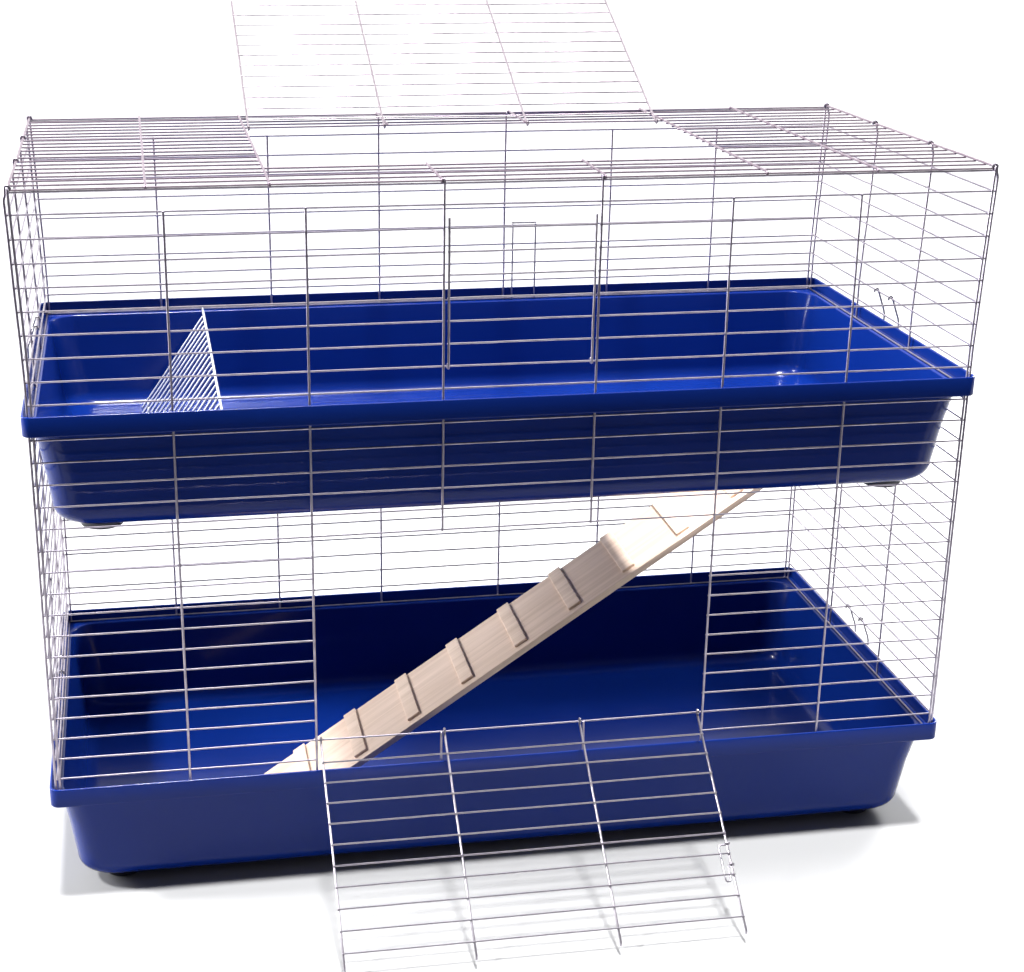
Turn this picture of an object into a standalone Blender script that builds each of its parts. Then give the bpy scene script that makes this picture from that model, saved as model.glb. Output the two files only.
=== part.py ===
"""Two-storey wire rabbit cage: two moulded trays, welded wire walls and roof, three wire doors and a ramp.

The frame is the whole cage's box: X along the cage, Y from front to back, Z up from the floor.
Units are metres and degrees. Every height is counted from the floor under the lower tray's feet.
"""

import math

import bmesh
import bpy
from mathutils import Vector

# Trays. Both are the same moulding. Insets are measured inwards from the rim's outer face.
TRAY_LENGTH = 1.18
TRAY_DEPTH = 0.575
TRAY_HEIGHT = 0.152
TRAY_SHELL = 0.003
TRAY_SKIRT = 0.025
TRAY_LEDGE_DROP = 0.0175
TRAY_LEDGE_INSET = 0.0152
TRAY_TAPER = 0.0142
TRAY_RIM_RADIUS = 0.012
TRAY_WALL_RADIUS = 0.040
TRAY_FLOOR_FILLET = 0.024
CORNER_STEPS = 4
FILLET_STEPS = 3

FOOT_HEIGHT = 0.010
FOOT_RADIUS = 0.029
FOOT_SIDES = 20
FOOT_X = 0.506
FOOT_Y = 0.209

GAP = 0.0003
LOWER_RIM = FOOT_HEIGHT + TRAY_HEIGHT
TIER_RISE = 0.4854
UPPER_RIM = LOWER_RIM + TIER_RISE
UPPER_FLOOR = UPPER_RIM - TRAY_HEIGHT + TRAY_SHELL
LOWER_FLOOR = LOWER_RIM - TRAY_HEIGHT + TRAY_SHELL

# Wire walls. Rows are the level wires and posts are the upright ones.
WIRE = 0.0025
ROW_PITCH = 0.02768
ROW_START = WIRE / 2 + 0.0005 - TRAY_LEDGE_DROP
LOWER_ROWS = 18
UPPER_ROWS = 10
WALL_X = 0.5767
WALL_Y = 0.2799
SIDE_X = WALL_X + WIRE + GAP
POSTS_X = (WALL_X, 0.4158, 0.2549, 0.094)
SIDE_POSTS_Y = (WALL_Y, 0.0933)
HOOK_RISE = 0.008

# Lower front door: it hangs open on the third row, over the front rim.
LOWER_DOOR_X = 0.2549
LOWER_DOOR_SILL_ROW = 2
LOWER_DOOR_LINTEL_ROW = 12
LOWER_DOOR_POSTS = (-0.249, -0.0895, 0.0895, 0.249)
LOWER_DOOR_FIRST_ROW = 0.0317
LOWER_DOOR_ROWS = 10
LOWER_DOOR_LENGTH = 0.303
LOWER_DOOR_DROP = 37.5

# Upper front door: it stands shut on the third row above the upper rim.
UPPER_DOOR_X = 0.094
UPPER_DOOR_SILL_ROW = 2
UPPER_DOOR_POSTS = (-0.088, 0.088)
UPPER_DOOR_ROWS = 6
UPPER_DOOR_LENGTH = 0.180

# Roof and its door, which leans back past upright.
ROOF_PITCH = 0.028
ROOF_ROWS = 21
ROOF_STRIP_ROWS = 5
ROOF_Z = UPPER_RIM + ROW_START + UPPER_ROWS * ROW_PITCH
ROOF_LONG_BARS = (WALL_X, 0.434, 0.295)
ROOF_SHORT_BAR = 0.097
ROOF_DOOR_POSTS = (-0.288, -0.101, 0.101, 0.288)
ROOF_DOOR_ROWS = 12
ROOF_DOOR_LENGTH = 0.345
ROOF_DOOR_LEAN = 25.0

# Door eyes: rings round the hinge wire. The door's plane lies this far outside its hinge axis.
EYE_INNER = 0.0023
EYE_OUTER = 0.0046
EYE_SIDES = 8
DOOR_OFFSET = 0.0034

# Ramp. Its top face meets the upper floor's level at RAMP_TOP_X.
RAMP_SLOPE = 34.2
RAMP_TOP_X = 0.346
RAMP_NEAR_Y = -0.215
RAMP_FAR_Y = -0.081
RAMP_THICKNESS = 0.008
CLEAT_COUNT = 10
CLEAT_FIRST = 0.0401
CLEAT_PITCH = 0.0865
CLEAT_WIDTH = 0.019
CLEAT_THICKNESS = 0.0038
CLEAT_NEAR_MARGIN = 0.012
CLEAT_EDGE = 0.001
HOOK_STRIP = 0.002
HOOK_WIDTH = 0.014
HOOK_ON_BOARD = 0.028
HOOK_ON_FLOOR = 0.020
HOOK_INSET = 0.030
HOLE_X = (0.170, 0.372)
HOLE_Y = (-0.226, -0.070)

# Hay grille: slats from a top rail that rests on the upper tray's ledges, down to its floor.
GRILLE_RAIL_X = -0.357
GRILLE_RAIL_DROP = 0.0149
GRILLE_SLOPE = 53.0
GRILLE_SLATS = 17
GRILLE_PITCH = 0.0277
GRILLE_LENGTH = 0.165
GRILLE_FOOT_RAIL = 0.150

# Small bent wires: rim clips, the loop on the back wall and the door latch.
CLIP_WIRE = 0.0012
CLIP_HINGE_ROW = 2
CLIP_HALF_WIDTH = 0.025
CLIP_SWELL = 0.0042
CLIP_GRIP = 0.002
CLIP_BEND = 0.002
EYE_TURN = 0.0034
BACK_LOOP_X = (0.106, 0.1405)
BACK_LOOP_ROW = 4
BACK_LOOP_TURN = 1.3 * EYE_TURN
LOOP_BEND = 0.002
LOOP_LIFT = 0.001
LATCH_FIRST = 0.184
LATCH_SECOND = 0.2117
LATCH_END = 0.232
LATCH_REACH = 0.010
LATCH_RETURN = 0.0035
LATCH_BEND = 0.003

# The frame's origin is the centre of the whole box in plan, so the trays sit a little off it.
SLANT = math.radians(LOWER_DOOR_DROP)
LEAN = math.radians(ROOF_DOOR_LEAN)
ROOF_HINGE_Y = ROOF_PITCH * (ROOF_ROWS // 2 - ROOF_STRIP_ROWS + 1)
FRONT_REACH = (
    WALL_Y
    + LOWER_DOOR_LENGTH * math.cos(SLANT)
    - (DOOR_OFFSET - WIRE / 2) * math.sin(SLANT)
)
BACK_REACH = (
    ROOF_HINGE_Y
    + ROOF_DOOR_LENGTH * math.cos(LEAN)
    + (DOOR_OFFSET + WIRE / 2) * math.sin(LEAN)
)
CAGE_Y = (FRONT_REACH - BACK_REACH) / 2


def clear_scene():
    """Removes every object, so that the cage stands alone."""
    for obj in list(bpy.data.objects):
        bpy.data.objects.remove(obj, do_unlink=True)


def make_material(name, colour, roughness, metallic=0.0):
    """One Principled BSDF material."""
    material = bpy.data.materials.new(name)
    material.use_nodes = True
    shader = material.node_tree.nodes["Principled BSDF"]
    shader.inputs["Base Color"].default_value = (*colour, 1.0)
    shader.inputs["Roughness"].default_value = roughness
    shader.inputs["Metallic"].default_value = metallic
    material.diffuse_color = (*colour, 1.0)
    return material


def row_height(rim, row):
    """Height of a wall's level wire, counted up from the one that lies on the tray's ledge."""
    return rim + ROW_START + row * ROW_PITCH


def add_object(name, mesh, material, parent):
    """Links a mesh as a node under its parent."""
    obj = bpy.data.objects.new(name, mesh)
    bpy.context.scene.collection.objects.link(obj)
    obj.data.materials.clear()
    obj.data.materials.append(material)
    obj.parent = parent
    return obj


def add_empty(name, location, rotation, parent):
    """An empty that stands on a joint's axis."""
    empty = bpy.data.objects.new(name, None)
    bpy.context.scene.collection.objects.link(empty)
    empty.parent = parent
    empty.location = location
    empty.rotation_euler = rotation
    return empty


def mesh_from(bm, name):
    """Closes a bmesh and turns it into a mesh with its faces pointing out."""
    bmesh.ops.recalc_face_normals(bm, faces=bm.faces)
    mesh = bpy.data.meshes.new(name)
    bm.to_mesh(mesh)
    bm.free()
    return mesh


# ---------------------------------------------------------------- wire lattices


def across(row, start, end):
    """The rectangle of a wire that runs along the lattice's X."""
    return (start - WIRE / 2, end + WIRE / 2, row - WIRE / 2, row + WIRE / 2)


def along(post, start, end):
    """The rectangle of a wire that runs along the lattice's Y."""
    return (post - WIRE / 2, post + WIRE / 2, start - WIRE / 2, end + WIRE / 2)


def cuts(values):
    """Sorted edges of all rectangles, without repeats."""
    found = []
    for value in sorted(values):
        if not found or value - found[-1] > GAP / 10:
            found.append(value)
    return found


def lattice_mesh(name, bars, offset=0.0):
    """Welded wires as one closed body: square bars in one plane, fused where they cross."""
    xs = cuts([x for bar in bars for x in bar[:2]])
    ys = cuts([y for bar in bars for y in bar[2:]])
    filled = set()
    for i in range(len(xs) - 1):
        for j in range(len(ys) - 1):
            x = (xs[i] + xs[i + 1]) / 2
            y = (ys[j] + ys[j + 1]) / 2
            if any(bar[0] < x < bar[1] and bar[2] < y < bar[3] for bar in bars):
                filled.add((i, j))
    bm = bmesh.new()
    corners = {}

    def corner(i, j, side):
        key = (i, j, side)
        if key not in corners:
            corners[key] = bm.verts.new((xs[i], ys[j], offset + side * WIRE / 2))
        return corners[key]

    for i, j in filled:
        loop = ((i, j), (i + 1, j), (i + 1, j + 1), (i, j + 1))
        bm.faces.new([corner(*at, 1) for at in loop])
        bm.faces.new([corner(*at, -1) for at in reversed(loop)])
        beyond = ((i, j - 1), (i + 1, j), (i, j + 1), (i - 1, j))
        for turn, cell in enumerate(beyond):
            if cell not in filled:
                first = loop[turn]
                second = loop[(turn + 1) % len(loop)]
                edge = [corner(*first, 1), corner(*first, -1)]
                bm.faces.new(edge + [corner(*second, -1), corner(*second, 1)])
    return mesh_from(bm, name)


def eye_mesh(name, posts):
    """Rings round the X axis, one at each post."""
    bm = bmesh.new()
    for post in posts:
        rings = []
        for radius in (EYE_INNER, EYE_OUTER):
            for x in (post - WIRE / 2, post + WIRE / 2):
                ring = []
                for step in range(EYE_SIDES):
                    turn = math.tau * (step + 0.5) / EYE_SIDES
                    ring.append(bm.verts.new((x, radius * math.cos(turn), radius * math.sin(turn))))
                rings.append(ring)
        inner_left, inner_right, outer_left, outer_right = rings
        order = (inner_left, inner_right, outer_right, outer_left)
        for which, ring in enumerate(order):
            follower = order[(which + 1) % len(order)]
            for step in range(EYE_SIDES):
                after = (step + 1) % EYE_SIDES
                bm.faces.new([ring[step], ring[after], follower[after], follower[step]])
    return mesh_from(bm, name)


def hinged_lattice(name, bars, posts, side, material, parent):
    """A wire door. Its hinge axis is the object's X axis, and its eyes are joined to its posts."""
    door = add_object(name, lattice_mesh(name, bars, side * DOOR_OFFSET), material, parent)
    eyes = add_object(name + "_eyes", eye_mesh(name + "_eyes", posts), material, parent)
    eyes.hide_render = True
    eyes.display_type = "WIRE"
    join = door.modifiers.new("eyes", "BOOLEAN")
    join.operation = "UNION"
    join.solver = "EXACT"
    join.object = eyes
    return door, eyes


def place_pair(pair, location, rotation):
    """Sets a door and its eyes on the hinge."""
    for obj in pair:
        obj.location = location
        obj.rotation_euler = rotation
    return pair[0]


# ---------------------------------------------------------------- trays and feet


def rounded_loop(bm, inset, height, radius):
    """A rounded rectangle of the tray at one height."""
    half_x = TRAY_LENGTH / 2 - inset - radius
    half_y = TRAY_DEPTH / 2 - inset - radius
    loop = []
    for quarter, (sign_x, sign_y) in enumerate(((1, 1), (-1, 1), (-1, -1), (1, -1))):
        for step in range(CORNER_STEPS + 1):
            turn = math.pi / 2 * (quarter + step / CORNER_STEPS)
            x = sign_x * half_x + radius * math.cos(turn)
            y = sign_y * half_y + radius * math.sin(turn)
            loop.append(bm.verts.new((x, y, height)))
    return loop


def wall_section(shell):
    """(inset, height) down one face of the tray's tapered wall and round its fillet to the floor."""
    top = TRAY_HEIGHT - TRAY_LEDGE_DROP - (0.0 if shell else TRAY_SHELL)
    inset = TRAY_LEDGE_INSET - (0.0 if shell else TRAY_SHELL)
    floor = shell
    fillet = TRAY_FLOOR_FILLET if shell else TRAY_FLOOR_FILLET + TRAY_SHELL
    section = [(inset, top)]
    for step in range(FILLET_STEPS + 1):
        turn = math.pi / 2 * step / FILLET_STEPS
        section.append(
            (
                inset + TRAY_TAPER + fillet * (1 - math.cos(turn)),
                floor + fillet * (1 - math.sin(turn)),
            )
        )
    return section


def tray_mesh(name):
    """The tray as one closed shell: skirt, rim, ledge, tapered wall and floor."""
    rim = TRAY_RIM_RADIUS
    ledge = TRAY_HEIGHT - TRAY_LEDGE_DROP
    loops = [
        (0.0, TRAY_HEIGHT - TRAY_SKIRT, rim),
        (0.0, TRAY_HEIGHT, rim),
        (TRAY_SHELL, TRAY_HEIGHT, rim - TRAY_SHELL),
        (TRAY_SHELL, ledge, rim - TRAY_SHELL),
    ]
    loops += [(inset, height, TRAY_WALL_RADIUS) for inset, height in wall_section(TRAY_SHELL)]
    inner_end = len(loops)
    outside = [(inset, height, TRAY_WALL_RADIUS + TRAY_SHELL) for inset, height in wall_section(0.0)]
    loops += list(reversed(outside))
    loops += [
        (TRAY_SHELL, ledge - TRAY_SHELL, rim - TRAY_SHELL),
        (TRAY_SHELL, TRAY_HEIGHT - TRAY_SKIRT, rim - TRAY_SHELL),
    ]
    bm = bmesh.new()
    rings = [rounded_loop(bm, *values) for values in loops]
    for first in range(len(rings)):
        second = (first + 1) % len(rings)
        if second == inner_end:
            continue
        for step in range(len(rings[0])):
            after = (step + 1) % len(rings[0])
            bm.faces.new(
                [rings[first][step], rings[first][after], rings[second][after], rings[second][step]]
            )
    bm.faces.new(rings[inner_end - 1])
    bm.faces.new(rings[inner_end])
    return mesh_from(bm, name)


def smooth(mesh, angle=35.0):
    """Shades round surfaces smooth and keeps real edges sharp."""
    mesh.shade_smooth()
    mesh.set_sharp_from_angle(angle=math.radians(angle))


def build_tray(name, height, material, parent):
    """One moulded tray, with its underside at the given height."""
    mesh = tray_mesh(name)
    smooth(mesh)
    tray = add_object(name, mesh, material, parent)
    tray.location = (0.0, 0.0, height)
    return tray


def cut_ramp_hole(tray, parent):
    """Cuts the square hole that the ramp comes up through."""
    bm = bmesh.new()
    bmesh.ops.create_cube(bm, size=1.0)
    cutter = bpy.data.objects.new("ramp_hole_cutter", mesh_from(bm, "ramp_hole_cutter"))
    bpy.context.scene.collection.objects.link(cutter)
    cutter.parent = parent
    cutter.location = (sum(HOLE_X) / 2, sum(HOLE_Y) / 2, UPPER_FLOOR)
    cutter.scale = (HOLE_X[1] - HOLE_X[0], HOLE_Y[1] - HOLE_Y[0], 4 * TRAY_SHELL)
    cutter.hide_render = True
    cutter.display_type = "WIRE"
    cut = tray.modifiers.new("ramp_hole", "BOOLEAN")
    cut.operation = "DIFFERENCE"
    cut.solver = "EXACT"
    cut.object = cutter


def foot_mesh():
    """A low round pad, a little narrower where it meets the ground."""
    bm = bmesh.new()
    bmesh.ops.create_cone(
        bm,
        cap_ends=True,
        segments=FOOT_SIDES,
        radius1=0.9 * FOOT_RADIUS,
        radius2=FOOT_RADIUS,
        depth=FOOT_HEIGHT - GAP,
    )
    mesh = mesh_from(bm, "foot")
    smooth(mesh)
    return mesh


def build_feet(tier, height, material, parent):
    """Four pads under one tray."""
    mesh = foot_mesh()
    for depth_name, sign_y in (("front", -1), ("back", 1)):
        for side_name, sign_x in (("left", -1), ("right", 1)):
            foot = add_object(f"{tier}_foot_{depth_name}_{side_name}", mesh, material, parent)
            foot.location = (sign_x * FOOT_X, sign_y * FOOT_Y, height + (FOOT_HEIGHT - GAP) / 2)


# ---------------------------------------------------------------- walls


def post_places(values):
    """The same distances on both sides of the middle, from left to right."""
    return sorted([-value for value in values] + list(values))


def front_wall(name, rim, rows, opening, top, material, parent):
    """A front wall with a door opening: (half width, sill row, lintel row, rows left out below it)."""
    half, sill, lintel, left_out = opening
    heights = [row_height(rim, row) for row in range(rows)]
    bars = []
    for row, height in enumerate(heights):
        if sill < row < lintel or row in left_out:
            bars.append(across(height, -WALL_X, -half))
            bars.append(across(height, half, WALL_X))
        else:
            bars.append(across(height, -WALL_X, WALL_X))
    for post in post_places(POSTS_X):
        reach = top(post)
        if abs(post) < half:
            bars.append(along(post, heights[0], heights[sill]))
            bars.append(along(post, heights[lintel], reach))
        else:
            bars.append(along(post, heights[0], reach))
    wall = add_object(name, lattice_mesh(name, bars), material, parent)
    wall.location = (0.0, -WALL_Y, 0.0)
    wall.rotation_euler = (math.pi / 2, 0.0, 0.0)


def back_wall(name, rim, rows, top, material, parent):
    """A plain back wall."""
    heights = [row_height(rim, row) for row in range(rows)]
    bars = [across(height, -WALL_X, WALL_X) for height in heights]
    bars += [along(post, heights[0], top(post)) for post in post_places(POSTS_X)]
    wall = add_object(name, lattice_mesh(name, bars), material, parent)
    wall.location = (0.0, WALL_Y, 0.0)
    wall.rotation_euler = (math.pi / 2, 0.0, 0.0)


def side_walls(tier, rim, rows, top, material, parent):
    """The left and right walls of one storey, which share one shape."""
    heights = [row_height(rim, row) for row in range(rows)]
    bars = [across(height, -WALL_Y, WALL_Y) for height in heights]
    bars += [along(post, heights[0], top) for post in post_places(SIDE_POSTS_Y)]
    mesh = lattice_mesh(f"{tier}_side_panel", bars)
    for side_name, sign in (("left", -1), ("right", 1)):
        wall = add_object(f"{tier}_{side_name}_panel", mesh, material, parent)
        wall.location = (sign * SIDE_X, 0.0, 0.0)
        wall.rotation_euler = (math.pi / 2, 0.0, math.pi / 2)


def build_walls(material, parent):
    """All eight walls."""
    under_ledge = UPPER_RIM - TRAY_LEDGE_DROP - TRAY_SHELL - GAP - WIRE / 2
    under_roof = ROOF_Z - WIRE - GAP
    lower_opening = (LOWER_DOOR_X, LOWER_DOOR_SILL_ROW, LOWER_DOOR_LINTEL_ROW, (1,))
    upper_opening = (UPPER_DOOR_X, UPPER_DOOR_SILL_ROW, UPPER_ROWS - 1, ())
    last_row = row_height(UPPER_RIM, UPPER_ROWS - 1)

    def lower_top(post):
        return under_ledge

    def upper_top(post):
        return under_roof if abs(post) in (WALL_X, UPPER_DOOR_X) else last_row

    front_wall("lower_front_panel", LOWER_RIM, LOWER_ROWS, lower_opening, lower_top, material, parent)
    back_wall("lower_back_panel", LOWER_RIM, LOWER_ROWS, lower_top, material, parent)
    side_walls("lower", LOWER_RIM, LOWER_ROWS, under_ledge, material, parent)
    front_wall("upper_front_panel", UPPER_RIM, UPPER_ROWS, upper_opening, upper_top, material, parent)
    back_wall("upper_back_panel", UPPER_RIM, UPPER_ROWS, upper_top, material, parent)
    side_walls("upper", UPPER_RIM, UPPER_ROWS, ROOF_Z + HOOK_RISE, material, parent)


def build_roof(material, parent):
    """The roof: a panel at each end and a strip along each long side, round an opening in the middle."""
    middle = ROOF_ROWS // 2
    places = [ROOF_PITCH * (row - middle) for row in range(ROOF_ROWS)]
    half_opening = min(ROOF_LONG_BARS)
    reach = half_opening - WIRE - GAP
    fields = {}
    for side_name, sign in (("left", -1), ("right", 1)):
        ends = sorted((sign * half_opening, sign * WALL_X))
        bars = [across(place, *ends) for place in places]
        bars += [along(sign * bar, places[0], places[-1]) for bar in ROOF_LONG_BARS]
        fields[f"roof_{side_name}_panel"] = bars
    for side_name, rows in (("front", places[:ROOF_STRIP_ROWS]), ("back", places[-ROOF_STRIP_ROWS:])):
        bars = [across(row, -reach, reach) for row in rows]
        bars += [along(bar, rows[0], rows[-1]) for bar in (-ROOF_SHORT_BAR, ROOF_SHORT_BAR)]
        fields[f"roof_{side_name}_strip"] = bars
    for name, bars in fields.items():
        field = add_object(name, lattice_mesh(name, bars), material, parent)
        field.location = (0.0, 0.0, ROOF_Z)


# ---------------------------------------------------------------- doors


def door_bars(posts, first_row, pitch, rows, length):
    """A door's wires, measured from its hinge."""
    bars = [across(first_row + pitch * row, posts[0], posts[-1]) for row in range(rows)]
    bars += [along(post, WIRE / 2, length - WIRE / 2) for post in posts]
    return bars


def build_lower_door(material, parent):
    """The big front door, hanging open with its tips near the floor."""
    bars = door_bars(
        LOWER_DOOR_POSTS, LOWER_DOOR_FIRST_ROW, ROW_PITCH, LOWER_DOOR_ROWS, LOWER_DOOR_LENGTH
    )
    pair = hinged_lattice("lower_front_door", bars, LOWER_DOOR_POSTS, 1, material, parent)
    hinge = (0.0, -WALL_Y, row_height(LOWER_RIM, LOWER_DOOR_SILL_ROW))
    return place_pair(pair, hinge, (math.pi + SLANT, 0.0, 0.0))


def build_upper_door(material, parent):
    """The small front door, shut."""
    bars = door_bars(UPPER_DOOR_POSTS, ROW_PITCH, ROW_PITCH, UPPER_DOOR_ROWS, UPPER_DOOR_LENGTH)
    pair = hinged_lattice("upper_front_door", bars, UPPER_DOOR_POSTS, 1, material, parent)
    hinge = (0.0, -WALL_Y, row_height(UPPER_RIM, UPPER_DOOR_SILL_ROW))
    place_pair(pair, hinge, (math.pi / 2, 0.0, 0.0))


def build_roof_door(material, parent):
    """The roof door, open and leaning back."""
    bars = door_bars(ROOF_DOOR_POSTS, ROOF_PITCH, ROOF_PITCH, ROOF_DOOR_ROWS, ROOF_DOOR_LENGTH)
    pair = hinged_lattice("roof_door", bars, ROOF_DOOR_POSTS, -1, material, parent)
    place_pair(pair, (0.0, ROOF_HINGE_Y, ROOF_Z), (LEAN, 0.0, 0.0))


# ---------------------------------------------------------------- bent wires


def bent_wire(name, points, radius, material, parent):
    """A wire bent through the given points, with closed ends."""
    curve = bpy.data.curves.new(name, "CURVE")
    curve.dimensions = "3D"
    curve.bevel_depth = radius
    curve.bevel_resolution = 0
    curve.use_fill_caps = True
    spline = curve.splines.new("POLY")
    spline.points.add(len(points) - 1)
    for target, point in zip(spline.points, points):
        target.co = (*point, 1.0)
    return add_object(name, curve, material, parent)


def eye_arc(start, end, steps):
    """(x, z) of a wire's eye round the Y axis, from one angle to another in degrees."""
    arc = []
    for step in range(steps + 1):
        turn = math.radians(start + (end - start) * step / steps)
        arc.append((EYE_TURN * math.cos(turn), EYE_TURN * math.sin(turn)))
    return arc


def clip_points():
    """A rim clip in its own frame: hinge wire along Y, X outwards. It hooks under the rim's skirt."""
    skirt = TRAY_SKIRT + ROW_START + CLIP_HINGE_ROW * ROW_PITCH
    rim_face = TRAY_LENGTH / 2 - SIDE_X
    knee, heel = -TRAY_LEDGE_DROP, -0.6 * skirt
    leg = eye_arc(220, 0, 4)
    leg += [
        (rim_face - CLIP_WIRE, knee),
        (rim_face + CLIP_SWELL, heel),
        (rim_face + CLIP_SWELL, 2.5 * CLIP_GRIP - skirt),
        (rim_face + CLIP_SWELL / 2, -CLIP_GRIP - skirt),
    ]
    toe_x, toe_z = rim_face - CLIP_GRIP, -CLIP_SWELL - skirt
    points = [(x, -CLIP_HALF_WIDTH, z) for x, z in leg]
    points.append((toe_x, CLIP_BEND - CLIP_HALF_WIDTH, toe_z))
    points.append((toe_x, CLIP_HALF_WIDTH - CLIP_BEND, toe_z))
    points += [(x, CLIP_HALF_WIDTH, z) for x, z in reversed(leg)]
    return points


def build_clips(material, parent):
    """Four clips that hold the side walls down on the rims."""
    points = clip_points()
    for tier, rim in (("lower", LOWER_RIM), ("upper", UPPER_RIM)):
        for side_name, sign in (("left", -1), ("right", 1)):
            clip = bent_wire(f"{tier}_{side_name}_clip", points, CLIP_WIRE, material, parent)
            clip.location = (sign * SIDE_X, 0.0, row_height(rim, CLIP_HINGE_ROW))
            clip.rotation_euler = (0.0, 0.0, 0.0 if sign > 0 else math.pi)


def build_back_loop(material, parent):
    """A wire loop that hangs on the upper back wall, inside the cage."""
    foot = row_height(UPPER_RIM, 0) + LOOP_LIFT
    head = row_height(UPPER_RIM, BACK_LOOP_ROW)
    left, right = BACK_LOOP_X
    turn = BACK_LOOP_TURN
    slanted = turn * math.sin(math.radians(45.0))
    leg = [(WALL_Y - turn, foot), (WALL_Y - turn, head)]
    leg += [(WALL_Y - slanted, head + slanted), (WALL_Y, head + turn)]
    hook = (WALL_Y + turn, head + LOOP_LIFT)
    points = [(left, y, z) for y, z in leg]
    points += [(left + LOOP_BEND, *hook), (right - LOOP_BEND, *hook)]
    points += [(right, y, z) for y, z in reversed(leg)]
    bent_wire("back_wall_loop", points, CLIP_WIRE, material, parent)


def build_latch(door, material):
    """The lower door's latch. It turns about the door's right post, which is its own Y axis."""
    first_eye = [(x, LATCH_FIRST, z) for x, z in eye_arc(-150, 90, 4)]
    second_eye = [(x, LATCH_SECOND, z) for x, z in eye_arc(90, -150, 4)]
    loop = [
        (LATCH_BEND - LATCH_REACH, LATCH_FIRST),
        (-LATCH_REACH, LATCH_FIRST + LATCH_BEND),
        (-LATCH_REACH, LATCH_END - LATCH_BEND),
        (LATCH_BEND - LATCH_REACH, LATCH_END),
        (-LATCH_RETURN - LATCH_BEND / 2, LATCH_END - LATCH_BEND / 3),
        (-LATCH_RETURN, LATCH_END - LATCH_BEND),
        (-LATCH_RETURN, LATCH_SECOND + LATCH_BEND),
    ]
    points = first_eye + [(x, y, EYE_TURN) for x, y in loop] + second_eye
    latch = bent_wire("lower_door_latch", points, CLIP_WIRE, material, door)
    latch.location = (LOWER_DOOR_POSTS[-1], 0.0, DOOR_OFFSET)


# ---------------------------------------------------------------- ramp and hay grille


def prism(name, profile, near, far, material, parent):
    """A straight piece: an outline in X and Z, drawn from one Y to another."""
    bm = bmesh.new()
    near_loop = [bm.verts.new((x, near, z)) for x, z in profile]
    far_loop = [bm.verts.new((x, far, z)) for x, z in profile]
    bm.faces.new(near_loop)
    bm.faces.new(reversed(far_loop))
    for step in range(len(profile)):
        after = (step + 1) % len(profile)
        bm.faces.new([near_loop[step], far_loop[step], far_loop[after], near_loop[after]])
    return add_object(name, mesh_from(bm, name), material, parent)


def build_ramp(board_material, cleat_material, wire_material, parent):
    """The ramp, its cleats and its two hooks. Everything turns about the hooks' tips."""
    slope = math.radians(RAMP_SLOPE)
    pivot_x = HOLE_X[1] + HOOK_ON_FLOOR
    pivot = add_empty("ramp_pivot", (pivot_x, 0.0, UPPER_FLOOR + GAP), (0.0, 0.0, 0.0), parent)
    frame = add_empty("ramp_frame", (RAMP_TOP_X - pivot_x, 0.0, -GAP), (0.0, -slope, 0.0), pivot)
    length = (UPPER_FLOOR - LOWER_FLOOR - GAP) / math.sin(slope)
    board = [
        (-length, 0.0),
        (0.0, 0.0),
        (0.0, -RAMP_THICKNESS),
        (RAMP_THICKNESS / math.tan(slope) - length, -RAMP_THICKNESS),
    ]
    prism("ramp_board", board, RAMP_NEAR_Y, RAMP_FAR_Y, board_material, frame)
    half = CLEAT_WIDTH / 2
    shoulder = CLEAT_THICKNESS - CLEAT_EDGE
    for which in range(CLEAT_COUNT):
        place = -CLEAT_FIRST - CLEAT_PITCH * which
        cleat = [
            (place - half, GAP),
            (place + half, GAP),
            (place + half, shoulder),
            (place + half - CLEAT_EDGE, CLEAT_THICKNESS),
            (place - half + CLEAT_EDGE, CLEAT_THICKNESS),
            (place - half, shoulder),
        ]
        near = RAMP_NEAR_Y + CLEAT_NEAR_MARGIN
        prism(f"ramp_cleat_{which + 1:02d}", cleat, near, RAMP_FAR_Y, cleat_material, frame)
    build_ramp_hooks(slope, pivot_x - RAMP_TOP_X, wire_material, frame)


def build_ramp_hooks(slope, run, material, frame):
    """Two bent strips that lie on the ramp's top end and on the upper floor."""
    level = Vector((math.cos(slope), -math.sin(slope)))
    up = Vector((math.sin(slope), math.cos(slope)))
    miter = math.tan(slope / 2)
    low, high = GAP, GAP + HOOK_STRIP
    tip = Vector((low * miter, low)) + run * level
    profile = [(-HOOK_ON_BOARD, low), (low * miter, low), tip]
    profile += [tip + HOOK_STRIP * up, (high * miter, high), (-HOOK_ON_BOARD, high)]
    centres = (("near", RAMP_NEAR_Y + HOOK_INSET), ("far", RAMP_FAR_Y - HOOK_INSET))
    for side_name, centre in centres:
        near = centre - HOOK_WIDTH / 2
        prism(f"ramp_hook_{side_name}", profile, near, near + HOOK_WIDTH, material, frame)


def build_grille(material, parent):
    """The hay grille, leaning from the tray's ledges down to its floor."""
    reach = WALL_Y - WIRE - GAP
    half = GRILLE_PITCH * (GRILLE_SLATS - 1) / 2
    bars = [across(0.0, -reach, reach), across(GRILLE_FOOT_RAIL, -half, half)]
    bars += [along(GRILLE_PITCH * slat - half, 0.0, GRILLE_LENGTH) for slat in range(GRILLE_SLATS)]
    grille = add_object("hay_grille", lattice_mesh("hay_grille", bars), material, parent)
    grille.location = (GRILLE_RAIL_X, 0.0, UPPER_RIM - GRILLE_RAIL_DROP)
    grille.rotation_euler = (-math.radians(GRILLE_SLOPE), 0.0, math.pi / 2)


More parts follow.
